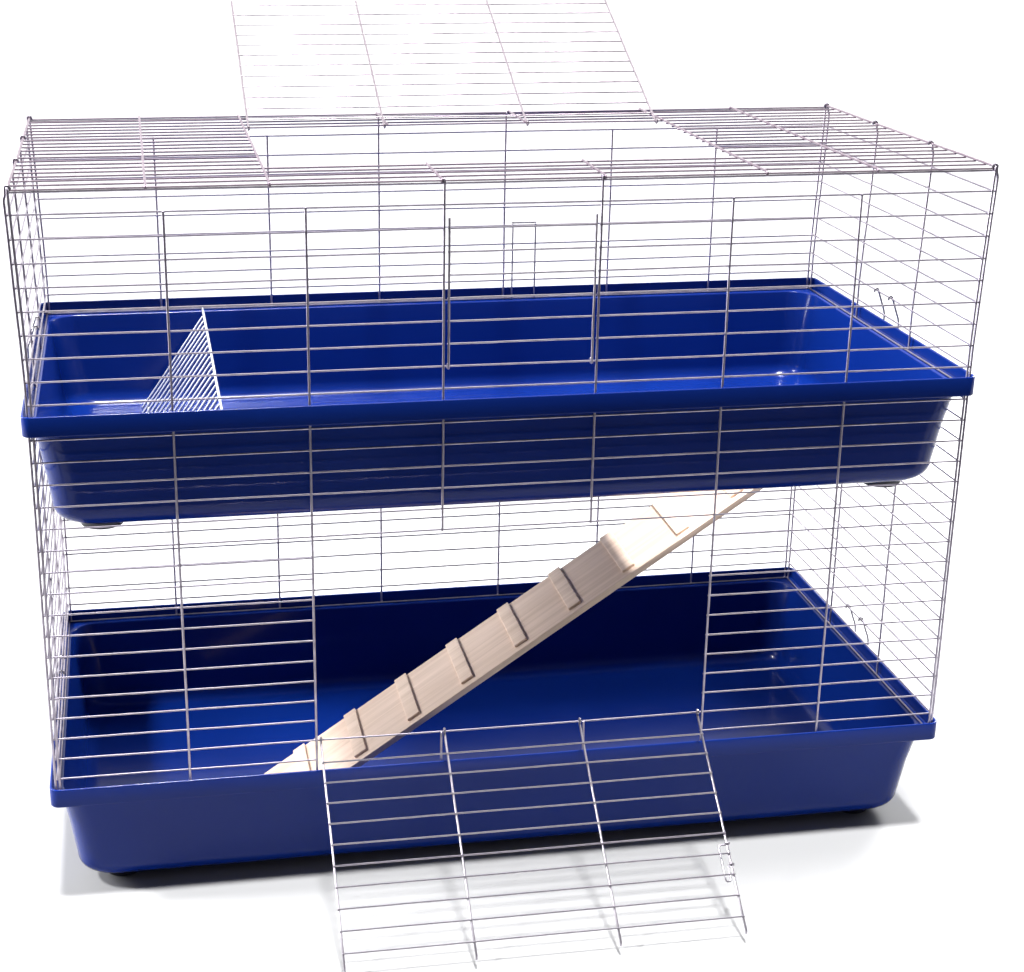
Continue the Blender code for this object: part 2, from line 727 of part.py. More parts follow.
def main():
    """Builds the whole cage."""
    clear_scene()
    plastic = make_material("blue_plastic", (0.012, 0.020, 0.24), 0.22)
    rubber = make_material("dark_rubber", (0.015, 0.015, 0.03), 0.6)
    wire = make_material("zinc_wire", (0.62, 0.61, 0.64), 0.32, 1.0)
    timber = make_material("pale_timber", (0.70, 0.60, 0.52), 0.6)
    cleat_timber = make_material("cleat_timber", (0.74, 0.62, 0.52), 0.6)
    cage = add_empty("cage", (0.0, CAGE_Y, 0.0), (0.0, 0.0, 0.0), None)
    build_tray("lower_tub", FOOT_HEIGHT, plastic, cage)
    upper_tray = build_tray("upper_tub", UPPER_RIM - TRAY_HEIGHT, plastic, cage)
    cut_ramp_hole(upper_tray, cage)
    build_feet("lower", 0.0, rubber, cage)
    build_feet("upper", UPPER_RIM - TRAY_HEIGHT - FOOT_HEIGHT, rubber, cage)
    build_walls(wire, cage)
    build_roof(wire, cage)
    build_roof_door(wire, cage)
    build_upper_door(wire, cage)
    lower_door = build_lower_door(wire, cage)
    build_latch(lower_door, wire)
    build_clips(wire, cage)
    build_back_loop(wire, cage)
    build_grille(wire, cage)
    build_ramp(timber, cleat_timber, wire, cage)


main()
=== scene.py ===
"""Looks of the two-storey wire rabbit cage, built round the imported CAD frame. Units are metres."""

import math
import random

import bmesh
import bpy
from mathutils import Matrix, Vector


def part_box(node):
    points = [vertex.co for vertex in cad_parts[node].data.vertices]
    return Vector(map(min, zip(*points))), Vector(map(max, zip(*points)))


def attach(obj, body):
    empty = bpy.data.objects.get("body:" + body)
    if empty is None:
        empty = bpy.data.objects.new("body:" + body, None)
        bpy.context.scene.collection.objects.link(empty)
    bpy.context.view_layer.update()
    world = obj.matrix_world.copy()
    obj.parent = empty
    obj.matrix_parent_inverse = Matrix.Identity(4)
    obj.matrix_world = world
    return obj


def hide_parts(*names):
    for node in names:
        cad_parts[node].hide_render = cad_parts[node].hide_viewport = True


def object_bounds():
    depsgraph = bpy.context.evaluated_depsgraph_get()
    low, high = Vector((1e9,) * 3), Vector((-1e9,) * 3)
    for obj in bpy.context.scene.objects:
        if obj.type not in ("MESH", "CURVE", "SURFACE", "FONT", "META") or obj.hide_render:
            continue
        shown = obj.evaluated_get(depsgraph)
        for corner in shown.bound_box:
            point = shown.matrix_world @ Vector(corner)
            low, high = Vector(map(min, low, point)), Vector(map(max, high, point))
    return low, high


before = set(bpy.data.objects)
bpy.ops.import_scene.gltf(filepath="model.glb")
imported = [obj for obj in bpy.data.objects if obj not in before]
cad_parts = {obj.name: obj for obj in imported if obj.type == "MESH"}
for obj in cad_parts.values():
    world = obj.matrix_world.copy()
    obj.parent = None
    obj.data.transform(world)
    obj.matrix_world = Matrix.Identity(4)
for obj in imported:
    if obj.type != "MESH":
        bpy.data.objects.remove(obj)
cad_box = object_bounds()
random.seed(11)

# ---------------------------------------------------------------- places read from the frame

TUB_LOW, TUB_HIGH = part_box("lower_tub")
UPPER_LOW, UPPER_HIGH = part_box("upper_tub")
MIDDLE = Vector((0.0, (TUB_LOW.y + TUB_HIGH.y) / 2, 0.0))
LOWER_RIM = TUB_HIGH.z
UPPER_RIM = UPPER_HIGH.z
HALF_X = TUB_HIGH.x
HALF_Y = TUB_HIGH.y - MIDDLE.y
ROOF_Z = sum(corner.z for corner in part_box("roof_left_panel")) / 2

# Sizes that the walls and doors share with the CAD model.
SHELL = 0.003
SKIRT = 0.025
LEDGE_DROP = 0.0175
LEDGE_INSET = 0.0152
TAPER = 0.0142
FLOOR_FILLET = 0.024
RIM_RADIUS = 0.012
WALL_RADIUS = 0.040
BAR = 0.0025
PITCH = 0.02768
ROW_START = BAR / 2 + 0.0005 - LEDGE_DROP
LOWER_ROWS = 18
UPPER_ROWS = 10
WALL_X = 0.5767
WALL_Y = 0.2799
SIDE_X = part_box("lower_right_panel")[1].x - BAR / 2

# The front walls' openings: half widths, and rows. Both front doors hinge on the sill row.
LOWER_DOOR_HALF = 0.2549
UPPER_DOOR_HALF = 0.094
SILL_ROW = 2
LOWER_LINTEL_ROW = 12

OUTER_POST = 0.4158
POSTS = (-WALL_X, -OUTER_POST, -LOWER_DOOR_HALF, -UPPER_DOOR_HALF,
         UPPER_DOOR_HALF, LOWER_DOOR_HALF, OUTER_POST, WALL_X)
SIDE_POSTS = (-WALL_Y, -0.0933, 0.0933, WALL_Y)
HOOKED_POSTS = (UPPER_DOOR_HALF, WALL_X)

# Posts start a little below the lowest row. The lower walls' posts end just under the upper tray's ledge.
# Those of the upper front wall run a little past its highest row, unless they hook over the roof's edge.
# The upper front and back walls have one more wire, just under the roof's.
POST_FOOT = 0.0012
POST_TIP = 0.0008
UNDER_LEDGE = UPPER_RIM - LEDGE_DROP - SHELL - 0.0008
EDGE_WIRE_Z = ROOF_Z - 0.0026

# The ends of the upper walls and the roof lean out a little, above the rows that the rim clips hang on.
LEAN = 0.008
LEAN_FROM = 0.46
LEAN_FOOT = UPPER_RIM + 0.045

# Round wires. A row lies in its wall's plane and the posts lie outside it, sunk a little into the weld.
# Places closer together than NEAR count as one.
WIRE_RADIUS = 0.00115
POST_OUT = 0.00225
POST_RADIUS = 0.00150
CLIP_RADIUS = 0.0012
OVERHANG = 0.0012
SIDES = 8
FINE_SIDES = 10
WOBBLE = 0.0003
WIRE_STEP = 0.05
NEAR = 0.001

# How far a bent wire's middle lies from the middle of the wire that it goes round.
EYE_RADIUS = 0.0027
HOOK_RADIUS = 0.0027
LATCH_EYE_RADIUS = 0.0034

# Doors: the posts' places along the hinge, the rows' and the whole length away from it.
LOWER_DOOR_POSTS = (-0.249, -0.0895, 0.0895, 0.249)
LOWER_DOOR_ROWS = [0.0317 + PITCH * row for row in range(10)]
LOWER_DOOR_LENGTH = 0.297
LOWER_DOOR_TIP = 0.005
LOWER_DOOR_SLANT = math.radians(37.5)
UPPER_DOOR_POSTS = (-0.088, 0.088)
UPPER_DOOR_ROWS = [PITCH * (row + 1) for row in range(6)]
UPPER_DOOR_LENGTH = 0.179
ROOF_PITCH = 0.028
ROOF_DOOR_POSTS = (-0.288, -0.101, 0.101, 0.288)
ROOF_DOOR_ROWS = [ROOF_PITCH * (row + 1) for row in range(12)]
ROOF_DOOR_LENGTH = 0.343
ROOF_DOOR_LEAN = math.radians(25.0)

# The roof: long wires on both sides of a middle one, bars across them, and the opening's half width.
ROOF_HALF_ROWS = 10
ROOF_EDGE_Y = ROOF_HALF_ROWS * ROOF_PITCH
ROOF_HINGE_Y = 6 * ROOF_PITCH
ROOF_OPENING_HALF = 0.295
ROOF_LONG_BARS = (-WALL_X, -0.434, -ROOF_OPENING_HALF, ROOF_OPENING_HALF, 0.434, WALL_X)
ROOF_SHORT_BARS = (-0.097, 0.097)

# The ramp's board slopes up to the upper tray's floor; cleats are placed down from its top.
RAMP_SLOPE = math.radians(34.2)
RAMP_TOP = Vector((0.346, 0.0, UPPER_RIM - 0.149))
BOARD_NEAR, BOARD_FAR = -0.215, -0.081
BOARD_THICKNESS = 0.008
CLEATS = 10
FIRST_CLEAT = 0.0401
CLEAT_PITCH = 0.0865
CLEAT_HALF = 0.0095
CLEAT_TOP = 0.0038
CLEAT_INSET = 0.012
HOLE_X = (0.170, 0.372)
HOLE_Y = (-0.226, -0.070)
RAMP_GAP = 0.0003

# The floor ends a little in front of the cage, so that the upper tray's front mirrors the dark beyond it.
FLOOR_REACH = 14.0
FLOOR_FRONT = 0.95


# ---------------------------------------------------------------- materials


def new_material(name):
    """An empty node material with one Principled shader."""
    material = bpy.data.materials.new(name)
    material.use_nodes = True
    nodes = material.node_tree.nodes
    return material, nodes, material.node_tree.links, nodes["Principled BSDF"]


def set_inputs(shader, **values):
    """Sets the shader's own sockets; an underscore in a name stands for a space."""
    for name, value in values.items():
        shader.inputs[name.replace("_", " ")].default_value = value


def noise_node(nodes, links, coordinates, scale, detail=3.0, stretch=(1.0, 1.0, 1.0), roughness=0.5):
    """Noise over the object's own coordinates, stretched along an axis."""
    mapping = nodes.new("ShaderNodeMapping")
    mapping.inputs["Scale"].default_value = stretch
    links.new(coordinates, mapping.inputs["Vector"])
    noise = nodes.new("ShaderNodeTexNoise")
    noise.inputs["Scale"].default_value = scale
    noise.inputs["Detail"].default_value = detail
    noise.inputs["Roughness"].default_value = roughness
    links.new(mapping.outputs["Vector"], noise.inputs["Vector"])
    return noise.outputs["Fac"]


def ramp_node(nodes, links, factor, stops):
    """A colour ramp: (position, colour) pairs."""
    ramp = nodes.new("ShaderNodeValToRGB")
    elements = ramp.color_ramp.elements
    while len(elements) < len(stops):
        elements.new(0.5)
    for element, (position, colour) in zip(elements, stops):
        element.position = position
        element.color = (*colour, 1.0)
    links.new(factor, ramp.inputs["Fac"])
    return ramp.outputs["Color"]


def range_node(nodes, links, factor, low, high):
    """Maps the usual range of noise, 0.3 to 0.7, to a range of values."""
    scaled = nodes.new("ShaderNodeMapRange")
    scaled.inputs["From Min"].default_value = 0.3
    scaled.inputs["From Max"].default_value = 0.7
    scaled.inputs["To Min"].default_value = low
    scaled.inputs["To Max"].default_value = high
    links.new(factor, scaled.inputs["Value"])
    return scaled.outputs["Result"]


def bump_node(nodes, links, height, shader, strength, distance):
    """Fine relief."""
    bump = nodes.new("ShaderNodeBump")
    bump.inputs["Strength"].default_value = strength
    bump.inputs["Distance"].default_value = distance
    links.new(height, bump.inputs["Height"])
    links.new(bump.outputs["Normal"], shader.inputs["Normal"])


def plastic_material():
    """Glossy deep blue injection-moulded plastic with faint scuffs."""
    material, nodes, links, shader = new_material("blue_plastic")
    deep, pale = (0.0020, 0.016, 0.155), (0.0030, 0.022, 0.19)
    where = nodes.new("ShaderNodeTexCoord").outputs["Object"]
    broad = noise_node(nodes, links, where, 3.0, 2.0)
    colour = ramp_node(nodes, links, broad, [(0.3, deep), (0.7, pale)])
    links.new(colour, shader.inputs["Base Color"])
    scuffs = noise_node(nodes, links, where, 14.0, 6.0, (1.0, 3.0, 3.0))
    links.new(range_node(nodes, links, scuffs, 0.20, 0.27), shader.inputs["Roughness"])
    grain = noise_node(nodes, links, where, 500.0, 2.0)
    bump_node(nodes, links, grain, shader, 0.03, 0.0003)
    set_inputs(shader, IOR=1.5, Specular_IOR_Level=0.13, Coat_Weight=0.13, Coat_Roughness=0.07)
    return material


def wire_material(name, dark, light, rough, metallic=1.0):
    """Zinc-plated drawn wire: small grey patches, lengthwise drawing lines."""
    material, nodes, links, shader = new_material(name)
    where = nodes.new("ShaderNodeTexCoord").outputs["Object"]
    patches = noise_node(nodes, links, where, 60.0, 4.0)
    colour = ramp_node(nodes, links, patches, [(0.32, dark), (0.68, light)])
    links.new(colour, shader.inputs["Base Color"])
    links.new(range_node(nodes, links, patches, rough + 0.12, rough), shader.inputs["Roughness"])
    lines = noise_node(nodes, links, where, 1500.0, 2.0)
    bump_node(nodes, links, lines, shader, 0.06, 0.0001)
    set_inputs(shader, Metallic=metallic)
    return material


def wood_material(name, dark, light, offset):
    """Planed softwood with growth bands and fibres along X. offset takes the grain from another place."""
    material, nodes, links, shader = new_material(name)
    where = nodes.new("ShaderNodeTexCoord").outputs["Object"]
    shift = nodes.new("ShaderNodeMapping")
    shift.inputs["Location"].default_value = (offset, 0.7 * offset, 0.3 * offset)
    links.new(where, shift.inputs["Vector"])
    moved = shift.outputs["Vector"]
    bands = noise_node(nodes, links, moved, 14.0, 3.0, (0.25, 6.0, 6.0), 0.6)
    fibres = noise_node(nodes, links, moved, 120.0, 4.0, (0.05, 5.0, 5.0), 0.7)
    mixed = nodes.new("ShaderNodeMix")
    mixed.data_type = "FLOAT"
    mixed.inputs["Factor"].default_value = 0.4
    links.new(bands, mixed.inputs["A"])
    links.new(fibres, mixed.inputs["B"])
    grain = mixed.outputs["Result"]
    links.new(ramp_node(nodes, links, grain, [(0.34, dark), (0.62, light)]), shader.inputs["Base Color"])
    links.new(range_node(nodes, links, fibres, 0.50, 0.72), shader.inputs["Roughness"])
    bump_node(nodes, links, fibres, shader, 0.25, 0.0006)
    return material


def rubber_material():
    """Matt dark rubber with a fine mould grain."""
    material, nodes, links, shader = new_material("dark_rubber")
    where = nodes.new("ShaderNodeTexCoord").outputs["Object"]
    broad = noise_node(nodes, links, where, 40.0, 3.0)
    colour = ramp_node(nodes, links, broad, [(0.3, (0.006, 0.006, 0.014)), (0.7, (0.014, 0.014, 0.028))])
    links.new(colour, shader.inputs["Base Color"])
    links.new(range_node(nodes, links, broad, 0.48, 0.66), shader.inputs["Roughness"])
    bump_node(nodes, links, noise_node(nodes, links, where, 700.0, 2.0), shader, 0.2, 0.0005)
    return material


def floor_material():
    """A pale matt studio floor."""
    material, nodes, links, shader = new_material("studio_floor")
    where = nodes.new("ShaderNodeTexCoord").outputs["Object"]
    broad = noise_node(nodes, links, where, 1.5, 2.0)
    colour = ramp_node(nodes, links, broad, [(0.3, (0.31, 0.31, 0.312)), (0.7, (0.33, 0.33, 0.332))])
    links.new(colour, shader.inputs["Base Color"])
    set_inputs(shader, Roughness=0.6, Specular_IOR_Level=0.3)
    return material


PLASTIC = plastic_material()
WALL_WIRE = wire_material("wall_wire", (0.31, 0.28, 0.33), (0.47, 0.43, 0.50), 0.32)
DOOR_WIRE = wire_material("door_wire", (0.34, 0.31, 0.35), (0.50, 0.47, 0.52), 0.30)
# The roof's wire is the walls' wire made darker and pinker: painted shade that tones down the overhead
# light on the roof.
ROOF_WIRE_PAINTED_SHADE = wire_material("roof_wire_painted_shade", (0.26, 0.205, 0.25), (0.39, 0.32, 0.37), 0.36)
# The roof door's wire is the doors' wire made darker: painted shade, so that the roof door shows against
# the white backdrop.
ROOF_DOOR_WIRE_PAINTED_SHADE = wire_material("roof_door_wire_painted_shade", (0.22, 0.185, 0.21), (0.33, 0.29, 0.32), 0.34)
CLIP_WIRE = wire_material("clip_wire", (0.27, 0.25, 0.28), (0.42, 0.40, 0.44), 0.30)
GRILLE_WIRE = wire_material("grille_wire", (0.52, 0.54, 0.58), (0.66, 0.68, 0.72), 0.34, 0.4)
HOOK_STEEL = wire_material("hook_steel", (0.28, 0.27, 0.28), (0.44, 0.43, 0.44), 0.34)
BOARD_WOOD = wood_material("ramp_timber", (0.56, 0.41, 0.31), (0.76, 0.59, 0.48), 0.0)
CLEAT_WOOD = wood_material("cleat_timber", (0.60, 0.44, 0.33), (0.80, 0.63, 0.51), 3.1)
RUBBER = rubber_material()


# ---------------------------------------------------------------- pieces


def finish_piece(name, mesh, material, body, nodes, matrix=None, angle=40.0):
    """Links a mesh as a visible piece that rides on a body and replaces its CAD nodes.

    An edge sharper than angle, in degrees, stays sharp.
    """
    piece = bpy.data.objects.new(name, mesh)
    bpy.context.scene.collection.objects.link(piece)
    mesh.materials.append(material)
    mesh.shade_smooth()
    mesh.set_sharp_from_angle(angle=math.radians(angle))
    if matrix is not None:
        piece.matrix_world = matrix
    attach(piece, body)
    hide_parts(*nodes)


def take_mesh(bm, name):
    """Turns a closed bmesh into a mesh, with its faces outwards, and frees it."""
    bmesh.ops.recalc_face_normals(bm, faces=bm.faces)
    mesh = bpy.data.meshes.new(name)
    bm.to_mesh(mesh)
    bm.free()
    return mesh


def bridge(bm, first, second):
    """Faces between two closed loops; a loop may be one point repeated."""
    for step in range(len(first)):
        after = (step + 1) % len(first)
        corners = [first[step], first[after], second[after], second[step]]
        bm.faces.new(list(dict.fromkeys(corners)))


class Wires:
    """Round wires gathered into one mesh. place turns a point of the wall's own frame into the world's."""

    CUT_REACH = 0.35
    CUT_SIZE = 0.55

    def __init__(self, place=None):
        self.place = place or Vector
        self.points = []
        self.faces = []

    def add(self, path, radius=WIRE_RADIUS, sides=SIDES):
        """A wire along a path, with slightly rounded cut ends."""
        path = [Vector(self.place(point)) for point in path]
        heading = [(b - a).normalized() for a, b in zip(path, path[1:])]
        tangents = [heading[0]]
        tangents += [(a + b).normalized() for a, b in zip(heading, heading[1:])]
        tangents.append(heading[-1])
        side = tangents[0].orthogonal().normalized()
        rings = [(path[0] - self.CUT_REACH * radius * tangents[0], self.CUT_SIZE * radius)]
        rings += [(point, radius) for point in path]
        rings.append((path[-1] + self.CUT_REACH * radius * tangents[-1], self.CUT_SIZE * radius))
        tangents = [tangents[0]] + tangents + [tangents[-1]]
        start = len(self.points)
        for (centre, size), tangent in zip(rings, tangents):
            side = (side - side.dot(tangent) * tangent).normalized()
            other = tangent.cross(side)
            for step in range(sides):
                turn = math.tau * step / sides
                self.points.append(centre + size * (math.cos(turn) * side + math.sin(turn) * other))
        for ring in range(len(rings) - 1):
            for step in range(sides):
                after = (step + 1) % sides
                near = start + ring * sides
                far = near + sides
                self.faces.append((near + step, near + after, far + after, far + step))
        self.faces.append(tuple(start + step for step in reversed(range(sides))))
        last = start + (len(rings) - 1) * sides
        self.faces.append(tuple(last + step for step in range(sides)))

    def straight(self, first, second, radius=WIRE_RADIUS):
        """A wire between two points that isn't quite straight."""
        self.add(wavy(first, second), radius)

    def weld(self, centre, size=0.0016):
        """The small bead where two wires are welded: a ball of two rings and two poles."""
        centre = Vector(self.place(centre))
        start = len(self.points)
        sides = 6
        self.points.append(centre + Vector((0.0, 0.0, -size)))
        for level in (-0.5, 0.5):
            for step in range(sides):
                turn = math.tau * step / sides
                wide = size * math.sqrt(1 - level * level)
                offset = Vector((wide * math.cos(turn), wide * math.sin(turn), level * size))
                self.points.append(centre + offset)
        self.points.append(centre + Vector((0.0, 0.0, size)))
        low, high, top = start + 1, start + 1 + sides, start + 1 + 2 * sides
        for step in range(sides):
            after = (step + 1) % sides
            self.faces.append((start, low + after, low + step))
            self.faces.append((low + step, low + after, high + after, high + step))
            self.faces.append((high + step, high + after, top))

    def mesh(self, name):
        """The gathered wires as one mesh."""
        mesh = bpy.data.meshes.new(name)
        mesh.from_pydata([tuple(point) for point in self.points], [], self.faces)
        mesh.update()
        return mesh


def wander(share, slow, fast, phases):
    """A slow wave with a weaker, faster one on it."""
    turn = math.tau * share
    return math.sin(turn * slow + phases[0]) + 0.5 * math.sin(turn * fast + phases[1])


def wavy(first, second, wobble=WOBBLE):
    """Points of a nearly straight wire: it wanders by a fraction of a millimetre."""
    first = Vector(first)
    second = Vector(second)
    length = (second - first).length
    steps = max(2, round(length / WIRE_STEP))
    along = (second - first).normalized()
    side = along.orthogonal().normalized()
    other = along.cross(side)
    phases = [random.uniform(0, math.tau) for _ in range(4)]
    points = []
    for step in range(steps + 1):
        share = step / steps
        hold = math.sin(math.pi * share)
        a = wander(share, 0.8, 2.1, phases[:2])
        b = wander(share, 0.7, 1.9, phases[2:])
        points.append(first.lerp(second, share) + wobble * hold * (a * side + b * other))
    return points


def arc(centre, radius, start, end, steps):
    """(first, second) coordinates of points on a circle, between two angles in degrees."""
    points = []
    for step in range(steps + 1):
        turn = math.radians(start + (end - start) * step / steps)
        points.append((centre[0] + radius * math.cos(turn), centre[1] + radius * math.sin(turn)))
    return points


def facing(plane, sign, sideways=False):
    """The frame of a wall: (along, up, out) to the world. Out points away from the cage."""

    def place(point):
        along, up, out = point
        if sideways:
            return (plane + sign * out, along + MIDDLE.y, up)
        return (along, plane + sign * out + MIDDLE.y, up)

    return place


def row_height(rim, row):
    """Height of a level wire, counted up from the one on the ledge."""
    return rim + ROW_START + row * PITCH


def row_heights(rim, rows):
    """Heights of all the level wires of a wall."""
    return [row_height(rim, row) for row in range(rows)]


def hooked_top(along, start, centre, radius):
    """A post that runs up outside the wall and curls in over a wire. centre is that wire's (out, up)."""
    lean = centre[0] + radius - POST_OUT
    bend_z = centre[1] - 0.014
    bend_step = 0.0024
    straight = wavy((along, start, POST_OUT), (along, bend_z, POST_OUT))
    ease = [(along, bend_z + bend_step * step, POST_OUT + lean * share)
            for step, share in ((1, 0.15), (2, 0.5), (3, 0.85), (4, 1.0))]
    hook = [(along, up, out) for out, up in arc(centre, radius, 0, 215, 9)]
    return [tuple(point) for point in straight] + ease + hook


# ---------------------------------------------------------------- walls and roof


def always(*spans):
    """A rule that gives the same spans for every row or post."""
    return lambda _: spans


def post_top(post, heights, upper):
    """Height at which a front or back wall's post ends."""
    if not upper:
        return UNDER_LEDGE
    return ROOF_Z if abs(post) in HOOKED_POSTS else heights[-1]


def stand_posts(wires, posts, bounds_of, roof_wire_painted_shade, tip=0.0):
    """Upright wires. One that reaches the roof curls over the wire at roof_wire_painted_shade, which is its (out, up)."""
    for post in posts:
        for low, high in bounds_of(post):
            if high == ROOF_Z:
                wires.add(hooked_top(post, low, roof_wire_painted_shade, HOOK_RADIUS), POST_RADIUS)
            else:
                wires.straight((post, low, POST_OUT), (post, high + tip, POST_OUT), radius=POST_RADIUS)


def lay_rows(wires, heights, spans_of):
    """Level wires, each over its own spans."""
    for row, height in enumerate(heights):
        for start, end in spans_of(row):
            wires.straight((start - OVERHANG, height, 0.0), (end + OVERHANG, height, 0.0))


def lay_welds(wires, heights, posts, bounds_of, spans_of):
    """A bead wherever a row crosses a post."""
    for post in posts:
        for low, high in bounds_of(post):
            for row, height in enumerate(heights):
                inside = any(start - NEAR <= post <= end + NEAR for start, end in spans_of(row))
                if inside and low - NEAR <= height <= high + NEAR:
                    wires.weld((post, height, POST_OUT / 2))


def edge_wire(wires):
    """The upper front and back walls' own highest wire, just under the roof."""
    wires.straight((-WALL_X, EDGE_WIRE_Z, 0.0), (WALL_X, EDGE_WIRE_Z, 0.0))


def lean_out(mesh):
    """Spreads the ends of an upper panel, more the higher they are."""
    for vertex in mesh.vertices:
        outward = (abs(vertex.co.x) - LEAN_FROM) / (WALL_X - LEAN_FROM)
        upward = (vertex.co.z - LEAN_FOOT) / (ROOF_Z - LEAN_FOOT)
        if outward > 0 and upward > 0:
            vertex.co.x += math.copysign(LEAN * outward * upward, vertex.co.x)


def finish_wall(wires, name, upper):
    """Links the gathered wires as a wall panel."""
    mesh = wires.mesh(name)
    if upper:
        lean_out(mesh)
    finish_piece(name, mesh, WALL_WIRE, "cage", [name])


def front_panel(name, rim, rows, half, lintel, left_out, upper):
    """A front wall round its door opening. The rows in left_out stop at the opening too."""
    wires = Wires(facing(-WALL_Y, -1))
    heights = row_heights(rim, rows)
    low = heights[0] - POST_FOOT

    def spans_of(row):
        if SILL_ROW < row < lintel or row in left_out:
            return [(-WALL_X, -half), (half, WALL_X)]
        return [(-WALL_X, WALL_X)]

    def straight_spans_of(row):
        return [] if row == SILL_ROW and not upper else spans_of(row)

    def bounds_of(post):
        top = post_top(post, heights, upper)
        if abs(post) < half:
            return [(low, heights[SILL_ROW]), (heights[lintel], top)]
        return [(low, top)]

    if not upper:
        sagging_row(wires, heights[SILL_ROW])
    lay_rows(wires, heights, straight_spans_of)
    stand_posts(wires, POSTS, bounds_of, (0.0, ROOF_Z), POST_TIP if upper else 0.0)
    if upper:
        edge_wire(wires)
    lay_welds(wires, heights, POSTS, bounds_of, spans_of)
    finish_wall(wires, name, upper)


def sagging_row(wires, height):
    """The lower door's hinge wire, which sags a little between the opening's posts."""
    sag = 0.0009
    steps = 16
    points = wavy((-WALL_X - OVERHANG, height, 0.0), (-LOWER_DOOR_HALF, height, 0.0))
    for step in range(1, steps):
        along = -LOWER_DOOR_HALF + 2 * LOWER_DOOR_HALF * step / steps
        share = along / LOWER_DOOR_HALF
        points.append(Vector((along, height - sag * (1 - share * share), 0.0)))
    points += wavy((LOWER_DOOR_HALF, height, 0.0), (WALL_X + OVERHANG, height, 0.0))
    wires.add(points)


def back_panel(name, rim, rows, upper):
    """A plain back wall."""
    wires = Wires(facing(WALL_Y, 1))
    heights = row_heights(rim, rows)
    spans_of = always((-WALL_X, WALL_X))

    def bounds_of(post):
        return [(heights[0] - POST_FOOT, post_top(post, heights, upper))]

    lay_rows(wires, heights, spans_of)
    stand_posts(wires, POSTS, bounds_of, (0.0, ROOF_Z))
    if upper:
        edge_wire(wires)
    lay_welds(wires, heights, POSTS, bounds_of, spans_of)
    finish_wall(wires, name, upper)


def side_panel(tier, side_name, sign, rim, rows, upper):
    """An end wall. The upper one's posts curl in over the roof's edge."""
    wires = Wires(facing(sign * SIDE_X, sign, sideways=True))
    heights = row_heights(rim, rows)
    spans_of = always((-WALL_Y, WALL_Y))
    bounds_of = always((heights[0] - POST_FOOT, ROOF_Z if upper else UNDER_LEDGE))
    lay_rows(wires, heights, spans_of)
    stand_posts(wires, SIDE_POSTS, bounds_of, (WALL_X - SIDE_X, ROOF_Z + POST_OUT))
    lay_welds(wires, heights, SIDE_POSTS, bounds_of, spans_of)
    finish_wall(wires, f"{tier}_{side_name}_panel", upper)


def roof_panel():
    """The roof: long wires with bars welded across them, whose ends turn down over the long edges."""
    wires = Wires(lambda point: (point[0], point[1] + MIDDLE.y, point[2]))
    high = ROOF_Z + POST_OUT
    places = [ROOF_PITCH * (row - ROOF_HALF_ROWS) for row in range(2 * ROOF_HALF_ROWS + 1)]
    for place in places:
        spans = [(-WALL_X, WALL_X)]
        if abs(place) < ROOF_HINGE_Y - NEAR:
            spans = [(-WALL_X, -ROOF_OPENING_HALF), (ROOF_OPENING_HALF, WALL_X)]
        for start, end in spans:
            wires.straight((start - OVERHANG, place, ROOF_Z), (end + OVERHANG, place, ROOF_Z))
    for bar in ROOF_LONG_BARS + ROOF_SHORT_BARS:
        front = [(bar, y, z) for y, z in arc((-ROOF_EDGE_Y, ROOF_Z), POST_OUT, 215, 90, 6)]
        back = [(bar, y, z) for y, z in arc((ROOF_EDGE_Y, ROOF_Z), POST_OUT, 90, -35, 6)]
        if bar in ROOF_SHORT_BARS:
            wires.add(front + [(bar, -ROOF_HINGE_Y - OVERHANG, high)], POST_RADIUS)
            wires.add([(bar, ROOF_HINGE_Y + OVERHANG, high)] + back, POST_RADIUS)
        else:
            middle = [tuple(point) for point in wavy((bar, -ROOF_EDGE_Y, high), (bar, ROOF_EDGE_Y, high))]
            wires.add(front + middle[1:-1] + back, POST_RADIUS)
    for place in places:
        crossed = ROOF_LONG_BARS
        if abs(place) > ROOF_HINGE_Y - NEAR:
            crossed += ROOF_SHORT_BARS
        for bar in crossed:
            wires.weld((bar, place, ROOF_Z + POST_OUT / 2))
    mesh = wires.mesh("roof_wires")
    lean_out(mesh)
    fields = ["roof_left_panel", "roof_right_panel", "roof_front_strip", "roof_back_strip"]
    finish_piece("roof_wires", mesh, ROOF_WIRE_PAINTED_SHADE, "cage", fields)


# ---------------------------------------------------------------- doors and bent wires


def door(name, body, posts, rows, length, matrix, side=1, rows_out=False, tip=0.0, material=DOOR_WIRE):
    """A wire door in its hinge's frame: X along the hinge, Y away from it, Z outwards when side is 1.

    Each post starts in an eye that is bent round the hinge wire. A tip bends its far end outwards.
    """
    wires = Wires()
    depth = EYE_RADIUS
    row_depth = depth + (POST_OUT if rows_out else -POST_OUT)
    shank_start = 0.004
    for post in posts:
        eye = [(post, y, side * z) for y, z in arc((0.0, 0.0), EYE_RADIUS, 335, 95, 12)]
        shank = wavy((post, shank_start, side * depth), (post, length, side * depth))
        path = eye + [tuple(point) for point in shank]
        if tip:
            path += [(post, length + 0.45 * tip, side * (depth + 0.25 * tip)),
                     (post, length + 0.75 * tip, side * (depth + 0.75 * tip))]
        wires.add(path, POST_RADIUS)
    for place in rows:
        wires.straight((posts[0] - OVERHANG, place, side * row_depth),
                       (posts[-1] + OVERHANG, place, side * row_depth))
        for post in posts:
            wires.weld((post, place, side * (depth + row_depth) / 2))
    finish_piece(name, wires.mesh(name), material, body, [name], matrix)


def hinge_matrix(y, z, turn):
    """The frame of a door whose hinge runs along X."""
    return Matrix.Translation((0.0, y + MIDDLE.y, z)) @ Matrix.Rotation(turn, 4, "X")


